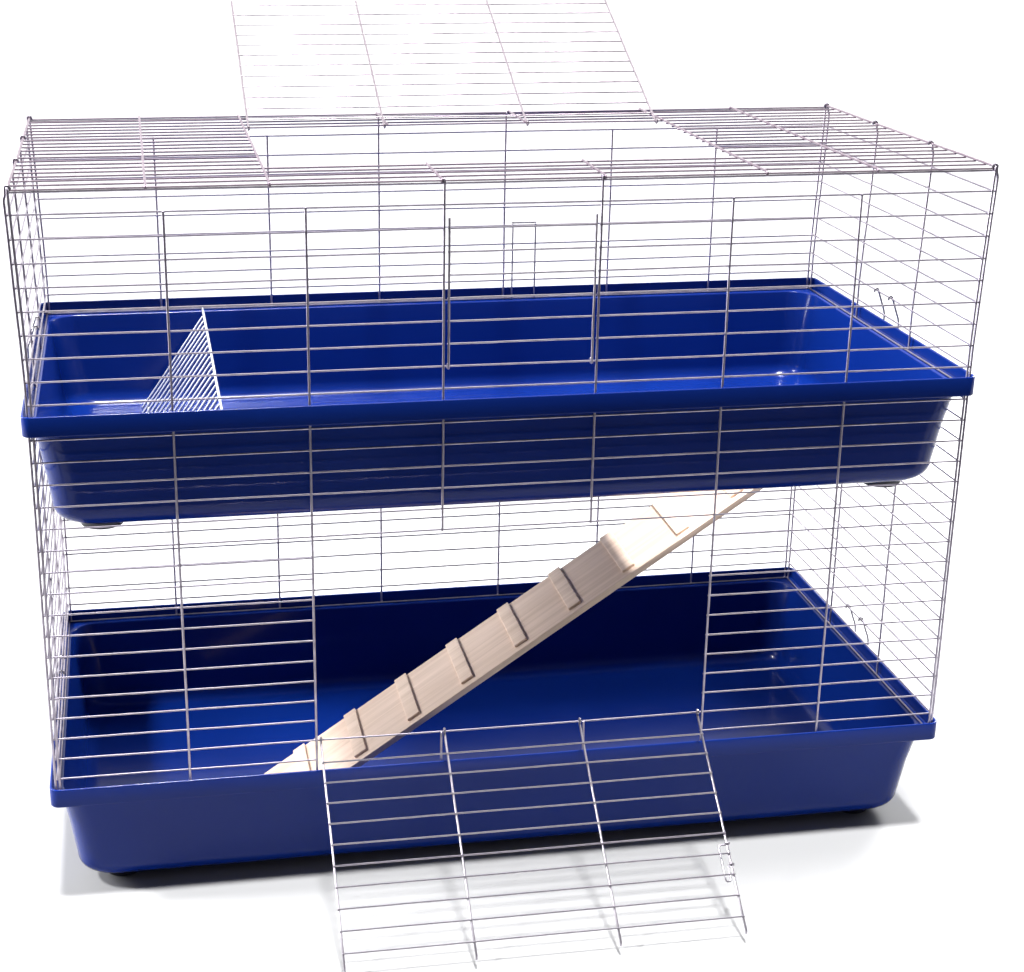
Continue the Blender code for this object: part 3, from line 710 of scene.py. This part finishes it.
def smooth_path(points, steps=4):
    """A Catmull-Rom curve through a few points."""
    points = [Vector(point) for point in points]
    ends = [2 * points[0] - points[1]] + points + [2 * points[-1] - points[-2]]
    path = []
    for before, first, second, after in zip(ends, ends[1:], ends[2:], ends[3:]):
        for step in range(steps):
            t = step / steps
            path.append(
                0.5 * (2 * first + (second - before) * t
                       + (2 * before - 5 * first + 4 * second - after) * t * t
                       + (3 * first - before - 3 * second + after) * t * t * t)
            )
    path.append(points[-1])
    return path


def bent_piece(name, path, body, matrix):
    """A small bent wire."""
    wires = Wires()
    wires.add(path, CLIP_RADIUS, FINE_SIDES)
    finish_piece(name, wires.mesh(name), CLIP_WIRE, body, [name], matrix)


def rim_clip(tier, side_name, sign, rim):
    """A clip that swings on a row of the end wall and hooks under the rim's skirt."""
    skirt = SKIRT + ROW_START + SILL_ROW * PITCH
    face = HALF_X - SIDE_X
    half, eye_radius = 0.025, 0.0030
    eye = arc((0.0, 0.0), eye_radius, 220, 0, 10)
    leg = [(face - 0.001, -0.018), (face + 0.0042, -0.034), (face + 0.0042, 0.006 - skirt),
           (face + 0.0020, -0.0015 - skirt)]
    toe = (face - 0.002, -0.0043 - skirt)
    down = smooth_path([(eye[-1][0], -half, eye[-1][1])] + [(x, -half, z) for x, z in leg]
                       + [(toe[0], 0.002 - half, toe[1]), (toe[0], 0.006 - half, toe[1])])
    first = [Vector((x, -half, z)) for x, z in eye[:-1]] + down
    second = [Vector((point.x, -point.y, point.z)) for point in reversed(first)]
    matrix = Matrix.Translation((sign * SIDE_X, MIDDLE.y, row_height(rim, SILL_ROW)))
    if sign < 0:
        matrix = matrix @ Matrix.Rotation(math.pi, 4, "Z")
    name = f"{tier}_{side_name}_clip"
    bent_piece(name, first + second, name, matrix)


def back_loop():
    """A loop that hangs on a row of the upper back wall, with its feet turned round the bottom row."""
    foot_z = row_height(UPPER_RIM, 0)
    head_z = row_height(UPPER_RIM, 4)
    turn = 0.0036
    corner = 0.0025
    left, right = 0.106, 0.1405
    side = [(-turn, foot_z + 0.001), (-turn, (foot_z + head_z) / 2), (-turn, head_z)]
    side += arc((0.0, head_z), turn, 165, 75, 4)
    first = [(left, y, z) for y, z in side]
    top = [(left + corner, 0.0022, head_z + 0.0034), (right - corner, 0.0022, head_z + 0.0034)]
    second = [(right, y, z) for y, z in reversed(side)]
    matrix = Matrix.Translation((0.0, WALL_Y + MIDDLE.y, 0.0))
    bent_piece("back_wall_loop", smooth_path(first + top + second, 3), "cage", matrix)


def door_latch(door_matrix):
    """The wire latch that turns about the lower door's right post, in the door's frame."""
    first, second, end = 0.184, 0.2117, 0.232
    reach, back, bend, turn = 0.010, 0.0035, 0.003, LATCH_EYE_RADIUS
    eye_in = [(x, first, z) for x, z in arc((0.0, 0.0), turn, -150, 90, 10)]
    eye_out = [(x, second, z) for x, z in arc((0.0, 0.0), turn, 90, -150, 10)]
    loop = [(bend - reach, first, turn), (-reach, first + bend, turn), (-reach, (first + end) / 2, turn),
            (-reach, end - bend, turn), (bend - reach, end, turn), (-back, end - bend, turn),
            (-back, second + bend, turn)]
    matrix = door_matrix @ Matrix.Translation((LOWER_DOOR_POSTS[-1], 0.0, LATCH_EYE_RADIUS))
    bent_piece("lower_door_latch", smooth_path(eye_in + loop + eye_out, 3), "door_latch", matrix)


def hay_grille():
    """The grille: bright slats hung from a rail that hooks on to the walls' bottom rows."""
    wires = Wires()
    slats, pitch, radius = 17, 0.0277, 0.0017
    slope = math.radians(54.3)
    length = 0.1615
    half = pitch * (slats - 1) / 2
    reach = WALL_Y - BAR - 0.0003
    drop = 0.150
    rail_wobble = 0.0002
    wires.add(wavy((-reach, 0.0, 0.0), (reach, 0.0, 0.0), rail_wobble), radius, FINE_SIDES)
    lower_rail = wavy((-half - 0.002, drop, -0.0022), (half + 0.002, drop, -0.0022), rail_wobble)
    wires.add(lower_rail, radius, FINE_SIDES)
    for slat in range(slats):
        across = pitch * slat - half
        wires.add(wavy((across, 0.0, 0.0024), (across, length, 0.0)), radius, FINE_SIDES)
        wires.weld((across, 0.0002, 0.0012), 0.0020)
        wires.weld((across, drop, -0.0010), 0.0019)
    top = Vector((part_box("hay_grille")[1].x - 0.0014, MIDDLE.y, UPPER_RIM - 0.0149))
    matrix = (Matrix.Translation(top)
              @ Matrix.Rotation(math.pi / 2, 4, "Z") @ Matrix.Rotation(-slope, 4, "X"))
    finish_piece("hay_grille", wires.mesh("hay_grille"), GRILLE_WIRE, "cage",
                 ["hay_grille"], matrix)


# ---------------------------------------------------------------- trays and feet


def rounded_loop(bm, inset, height, radius, steps=12, spread=10):
    """A rounded rectangle of the tray, with points along its straight sides too."""
    half_x = HALF_X - inset - radius
    half_y = HALF_Y - inset - radius
    corners = []
    for quarter, (sign_x, sign_y) in enumerate(((1, 1), (-1, 1), (-1, -1), (1, -1))):
        for step in range(steps + 1):
            turn = math.pi / 2 * (quarter + step / steps)
            x = sign_x * half_x + radius * math.cos(turn)
            y = sign_y * half_y + radius * math.sin(turn)
            corners.append(Vector((x, y, height)))
    loop = []
    for index, point in enumerate(corners):
        loop.append(bm.verts.new(point))
        if index % (steps + 1) == steps:
            follower = corners[(index + 1) % len(corners)]
            for step in range(1, spread):
                loop.append(bm.verts.new(point.lerp(follower, step / spread)))
    return loop


def tray_section():
    """The tray's section from the skirt's foot, over the rim, down the wall to the floor: (inset, height).

    The inset grows inwards. Height is counted from the tray's underside. The second list is its outside.
    """
    rim = LOWER_RIM - TUB_LOW.z
    ledge = rim - LEDGE_DROP
    half = SHELL / 2
    soft, brow, skirt_soft = 0.002, 0.0025, 0.0015
    wall_end = LEDGE_INSET + TAPER
    fillet = FLOOR_FILLET
    deep = fillet + SHELL
    floor_start = wall_end + fillet + 0.012
    inside = arc((half, rim - SKIRT + half), half, 270, 180, 3)
    inside += arc((half, rim - half), half, 180, 0, 6)
    inside += arc((SHELL + soft, ledge + soft), soft, 180, 270, 4)
    inside += arc((LEDGE_INSET - brow, ledge - brow), brow, 90, 0, 4)
    inside.append((wall_end - 0.5 * TAPER, (ledge + SHELL + fillet) / 2))
    inside += arc((wall_end + fillet, SHELL + fillet), fillet, 180, 270, 9)
    inside.append((floor_start, SHELL))
    outside = [(floor_start, 0.0)]
    outside += arc((wall_end + fillet, deep), deep, 270, 180, 9)
    outside.append((wall_end - SHELL - 0.5 * TAPER, (ledge + deep) / 2))
    outside += arc((LEDGE_INSET - SHELL - soft, ledge - SHELL - soft), soft, 0, 90, 4)
    outside += arc((SHELL + skirt_soft, ledge - SHELL - skirt_soft), skirt_soft, 90, 180, 3)
    outside += arc((half, rim - SKIRT + half), half, 0, -90, 3)[:-1]
    return inside, outside


def tray_mesh(name, base):
    """One tray as a closed shell."""
    inside, outside = tray_section()
    least_corner = 0.004
    bm = bmesh.new()
    rings = []
    for inset, height in inside + outside:
        deepness = min(max((inset - SHELL) / (LEDGE_INSET - SHELL), 0.0), 1.0)
        corner = RIM_RADIUS + (WALL_RADIUS - RIM_RADIUS) * deepness - min(inset, SHELL)
        rings.append(rounded_loop(bm, inset, base + height, max(corner, least_corner)))
    floor_top, floor_under = rings[len(inside) - 1], rings[len(inside)]
    for first, second in zip(rings, rings[1:] + rings[:1]):
        if second is not floor_under:
            bridge(bm, first, second)
    bm.faces.new(floor_top)
    bm.faces.new(floor_under)
    bmesh.ops.translate(bm, verts=bm.verts, vec=(0.0, MIDDLE.y, 0.0))
    return take_mesh(bm, name)


def hole_cutter():
    """A block with rounded upright corners, for the ramp's hole."""
    bm = bmesh.new()
    radius, reach = 0.012, 0.01
    left, right = HOLE_X[0] + radius, HOLE_X[1] - radius
    front, back = HOLE_Y[0] + radius, HOLE_Y[1] - radius
    outline = []
    for quarter, centre in enumerate(((right, back), (left, back), (left, front), (right, front))):
        outline += arc(centre, radius, 90 * quarter, 90 * quarter + 90, 6)
    heights = (RAMP_TOP.z - reach, RAMP_TOP.z + reach)
    rings = [[bm.verts.new((x, y + MIDDLE.y, z)) for x, y in outline] for z in heights]
    bridge(bm, *rings)
    bm.faces.new(reversed(rings[0]))
    bm.faces.new(rings[1])
    return bpy.data.objects.new("hole_cutter", take_mesh(bm, "hole_cutter"))


def cut_hole(mesh):
    """The upper tray's mesh with the ramp's hole cut out."""
    scene = bpy.context.scene
    holder = bpy.data.objects.new("hole_holder", mesh)
    cutter = hole_cutter()
    scene.collection.objects.link(holder)
    scene.collection.objects.link(cutter)
    modifier = holder.modifiers.new("hole", "BOOLEAN")
    modifier.operation = "DIFFERENCE"
    modifier.solver = "EXACT"
    modifier.object = cutter
    bpy.context.view_layer.update()
    graph = bpy.context.evaluated_depsgraph_get()
    cut = bpy.data.meshes.new_from_object(holder.evaluated_get(graph))
    bpy.data.objects.remove(holder)
    bpy.data.objects.remove(cutter)
    return cut


def trays():
    """Both trays."""
    lower = tray_mesh("lower_tub", TUB_LOW.z)
    finish_piece("lower_tub", lower, PLASTIC, "cage", ["lower_tub"], angle=50.0)
    upper = cut_hole(tray_mesh("upper_tub", UPPER_LOW.z))
    upper.materials.clear()
    finish_piece("upper_tub", upper, PLASTIC, "cage", ["upper_tub"], angle=50.0)


def foot(name):
    """A round pad with a rounded edge, a groove and a recessed middle."""
    low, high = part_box(name)
    centre = (low + high) / 2
    radius = (high.x - low.x) / 2
    tall = high.z - low.z
    sides, recess, edge = 48, 0.0012, 0.002
    flat_end = 0.90 * radius - edge
    section = [(0.0, recess), (0.55 * radius, recess), (0.60 * radius, 0.0), (flat_end, 0.0)]
    section += [(flat_end + edge * math.sin(turn), edge - edge * math.cos(turn))
                for turn in (0.4, 0.8, 1.2)]
    section += [(0.93 * radius, 0.45 * tall), (0.915 * radius, 0.50 * tall), (0.93 * radius, 0.55 * tall)]
    section += [(radius - 0.001, tall - 0.001), (radius - edge, tall), (0.0, tall)]
    bm = bmesh.new()
    rings = []
    for distance, height in section:
        if distance == 0.0:
            rings.append([bm.verts.new((centre.x, centre.y, low.z + height))] * sides)
            continue
        rings.append([bm.verts.new((centre.x + distance * math.cos(math.tau * side / sides),
                                    centre.y + distance * math.sin(math.tau * side / sides),
                                    low.z + height)) for side in range(sides)])
    for first, second in zip(rings, rings[1:]):
        bridge(bm, first, second)
    finish_piece(name, take_mesh(bm, name), RUBBER, "cage", [name], angle=50.0)


# ---------------------------------------------------------------- ramp


def beam_mesh(name, outline, near, far, bevel):
    """A straight piece with an outline in X and Z, drawn along Y, with eased edges."""
    bm = bmesh.new()
    loops = [[bm.verts.new((x, y, z)) for x, z in outline] for y in (near, far)]
    bm.faces.new(loops[0])
    bm.faces.new(reversed(loops[1]))
    for step in range(len(outline)):
        after = (step + 1) % len(outline)
        bm.faces.new([loops[0][step], loops[1][step], loops[1][after], loops[0][after]])
    bmesh.ops.recalc_face_normals(bm, faces=bm.faces)
    bmesh.ops.bevel(bm, geom=list(bm.edges), offset=bevel, segments=3, profile=0.6, affect="EDGES",
                    clamp_overlap=True)
    return take_mesh(bm, name)


def ramp():
    """The board and its cleats, in the ramp's own slanted frame, with the board's top end at the origin."""
    matrix = Matrix.Translation(RAMP_TOP + MIDDLE) @ Matrix.Rotation(-RAMP_SLOPE, 4, "Y")
    length = (UPPER_RIM - LOWER_RIM - RAMP_GAP) / math.sin(RAMP_SLOPE)
    under = BOARD_THICKNESS / math.tan(RAMP_SLOPE) - length
    board = [(-length, 0.0), (0.0, 0.0), (0.0, -BOARD_THICKNESS), (under, -BOARD_THICKNESS)]
    mesh = beam_mesh("ramp_board", board, BOARD_NEAR, BOARD_FAR, 0.0008)
    finish_piece("ramp_board", mesh, BOARD_WOOD, "ramp", ["ramp_board"], matrix)
    for which in range(CLEATS):
        place = -FIRST_CLEAT - CLEAT_PITCH * which
        skew = random.uniform(-0.0004, 0.0004)
        low, high = place - CLEAT_HALF, place + CLEAT_HALF
        outline = [(low, RAMP_GAP), (high, RAMP_GAP), (high, CLEAT_TOP), (low, CLEAT_TOP)]
        name = f"ramp_cleat_{which + 1:02d}"
        mesh = beam_mesh(name, outline, BOARD_NEAR + CLEAT_INSET + skew, BOARD_FAR, 0.0009)
        finish_piece(name, mesh, CLEAT_WOOD, "ramp", [name], matrix)
    ramp_hooks(matrix)


def ramp_hooks(matrix):
    """Two steel strips that lie on the board's top end and run on level over the hole's edge."""
    strip, inset, half_width, tail = 0.002, 0.030, 0.007, -0.028
    run = HOLE_X[1] + 0.020 - RAMP_TOP.x
    level = Vector((math.cos(RAMP_SLOPE), -math.sin(RAMP_SLOPE)))
    up = Vector((math.sin(RAMP_SLOPE), math.cos(RAMP_SLOPE)))
    lift = math.tan(RAMP_SLOPE / 2)
    top = RAMP_GAP + strip
    low_bend = Vector((RAMP_GAP * lift, RAMP_GAP))
    high_bend = Vector((top * lift, top))
    tip = low_bend + run * level
    outline = [(tail, RAMP_GAP), tuple(low_bend), tuple(tip), tuple(tip + strip * up), tuple(high_bend),
               (tail, top)]
    for side_name, middle in (("near", BOARD_NEAR + inset), ("far", BOARD_FAR - inset)):
        name = f"ramp_hook_{side_name}"
        mesh = beam_mesh(name, outline, middle - half_width, middle + half_width, 0.0005)
        finish_piece(name, mesh, HOOK_STEEL, "ramp", [name], matrix)


# ---------------------------------------------------------------- floor, lights and camera


def studio():
    """A pale floor, two suns, two softboxes and a world."""
    bm = bmesh.new()
    bmesh.ops.create_grid(bm, x_segments=8, y_segments=8, size=FLOOR_REACH)
    mesh = bpy.data.meshes.new("studio_floor")
    bm.to_mesh(mesh)
    bm.free()
    ground = bpy.data.objects.new("studio_floor", mesh)
    ground.location = (0.0, FLOOR_REACH - FLOOR_FRONT, cad_box[0][2] - 0.0001)
    mesh.materials.append(floor_material())
    bpy.context.scene.collection.objects.link(ground)
    bpy.context.scene.world = surround()
    bpy.context.scene.view_settings.view_transform = "Standard"
    distant_light("key", towards=(0.0, -0.10, 0.99), spread=7.0, strength=8.0)
    distant_light("side", towards=(-0.66, 0.10, 0.75), spread=8.0, strength=4.5)
    soft_light("left", place=(-2.6, 0.7, 0.95), size=0.8, power=85.0)
    soft_light("right", place=(2.2, 1.6, 1.45), size=0.8, power=90.0)


def surround():
    """A world that is dark in front of the cage and white behind it, but plain white to the camera."""
    front, behind, seen_white = (0.07, 0.07, 0.08), (1.0, 1.0, 1.0), (0.67, 0.67, 0.67, 1.0)
    world = bpy.data.worlds.new("studio")
    world.use_nodes = True
    nodes, links = world.node_tree.nodes, world.node_tree.links
    where = nodes.new("ShaderNodeTexCoord")
    parts = nodes.new("ShaderNodeSeparateXYZ")
    links.new(where.outputs["Generated"], parts.inputs["Vector"])
    shading = ramp_node(nodes, links, parts.outputs["Y"], [(0.0, front), (0.55, behind)])
    ray = nodes.new("ShaderNodeLightPath")
    backdrop = nodes.new("ShaderNodeMixRGB")
    links.new(ray.outputs["Is Camera Ray"], backdrop.inputs["Fac"])
    links.new(shading, backdrop.inputs["Color1"])
    backdrop.inputs["Color2"].default_value = seen_white
    links.new(backdrop.outputs["Color"], nodes["Background"].inputs["Color"])
    nodes["Background"].inputs["Strength"].default_value = 1.5
    return world


def distant_light(name, towards, spread, strength):
    """Parallel light from one direction; spread is the angle, in degrees, that its source fills."""
    light = bpy.data.lights.new(name, "SUN")
    light.angle = math.radians(spread)
    light.energy = strength
    lamp = bpy.data.objects.new(name, light)
    lamp.rotation_euler = Vector(towards).to_track_quat("Z", "Y").to_euler()
    bpy.context.scene.collection.objects.link(lamp)


def soft_light(name, place, size, power):
    """A square softbox that faces the middle of the cage."""
    aim = Vector((0.0, 0.0, 0.45))
    light = bpy.data.lights.new(name, "AREA")
    light.size = size
    light.energy = power
    lamp = bpy.data.objects.new(name, light)
    lamp.location = place
    lamp.visible_camera = False
    lamp.rotation_euler = (aim - Vector(place)).to_track_quat("-Z", "Y").to_euler()
    bpy.context.scene.collection.objects.link(lamp)


def camera():
    """The camera at the photographed viewing angle."""
    azimuth, elevation, roll = math.radians(10.209), math.radians(20.109), math.radians(0.485)
    place = Vector((-0.4470, -2.3254, 1.2639))
    forward = Vector((math.sin(azimuth) * math.cos(elevation), math.cos(azimuth) * math.cos(elevation),
                      -math.sin(elevation)))
    level = Vector((math.cos(azimuth), -math.sin(azimuth), 0.0))
    right = math.cos(roll) * level + math.sin(roll) * level.cross(forward)
    up = right.cross(forward)
    data = bpy.data.cameras.new("camera")
    data.sensor_width = 36.0
    data.lens = 63.21
    data.shift_x = 0.0560
    data.shift_y = 0.0239
    data.dof.use_dof = False
    eye = bpy.data.objects.new("camera", data)
    turn = Matrix((right, up, -forward)).transposed().to_4x4()
    eye.matrix_world = Matrix.Translation(place + MIDDLE) @ turn
    bpy.context.scene.collection.objects.link(eye)
    bpy.context.scene.camera = eye


def doors():
    """The three doors and the lower one's latch."""
    lower_hinge = hinge_matrix(-WALL_Y, row_height(LOWER_RIM, SILL_ROW), math.pi + LOWER_DOOR_SLANT)
    door("lower_front_door", "lower_door", LOWER_DOOR_POSTS, LOWER_DOOR_ROWS, LOWER_DOOR_LENGTH,
         lower_hinge, tip=LOWER_DOOR_TIP)
    door_latch(lower_hinge)
    upper_hinge = hinge_matrix(-WALL_Y, row_height(UPPER_RIM, SILL_ROW), math.pi / 2)
    door("upper_front_door", "upper_door", UPPER_DOOR_POSTS, UPPER_DOOR_ROWS, UPPER_DOOR_LENGTH,
         upper_hinge)
    roof_hinge = hinge_matrix(ROOF_HINGE_Y, ROOF_Z, ROOF_DOOR_LEAN)
    door("roof_door", "roof_door", ROOF_DOOR_POSTS, ROOF_DOOR_ROWS, ROOF_DOOR_LENGTH,
         roof_hinge, side=-1, rows_out=True, material=ROOF_DOOR_WIRE_PAINTED_SHADE)


def main():
    """Builds every visible piece."""
    camera()
    studio()
    trays()
    for node in sorted(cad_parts):
        if "_foot_" in node:
            foot(node)
    front_panel("lower_front_panel", LOWER_RIM, LOWER_ROWS, LOWER_DOOR_HALF, LOWER_LINTEL_ROW, (1,), False)
    front_panel("upper_front_panel", UPPER_RIM, UPPER_ROWS, UPPER_DOOR_HALF, UPPER_ROWS - 1, (), True)
    back_panel("lower_back_panel", LOWER_RIM, LOWER_ROWS, False)
    back_panel("upper_back_panel", UPPER_RIM, UPPER_ROWS, True)
    for side_name, sign in (("left", -1), ("right", 1)):
        side_panel("lower", side_name, sign, LOWER_RIM, LOWER_ROWS, False)
        side_panel("upper", side_name, sign, UPPER_RIM, UPPER_ROWS, True)
        rim_clip("lower", side_name, sign, LOWER_RIM)
        rim_clip("upper", side_name, sign, UPPER_RIM)
    roof_panel()
    doors()
    back_loop()
    hay_grille()
    ramp()


main()
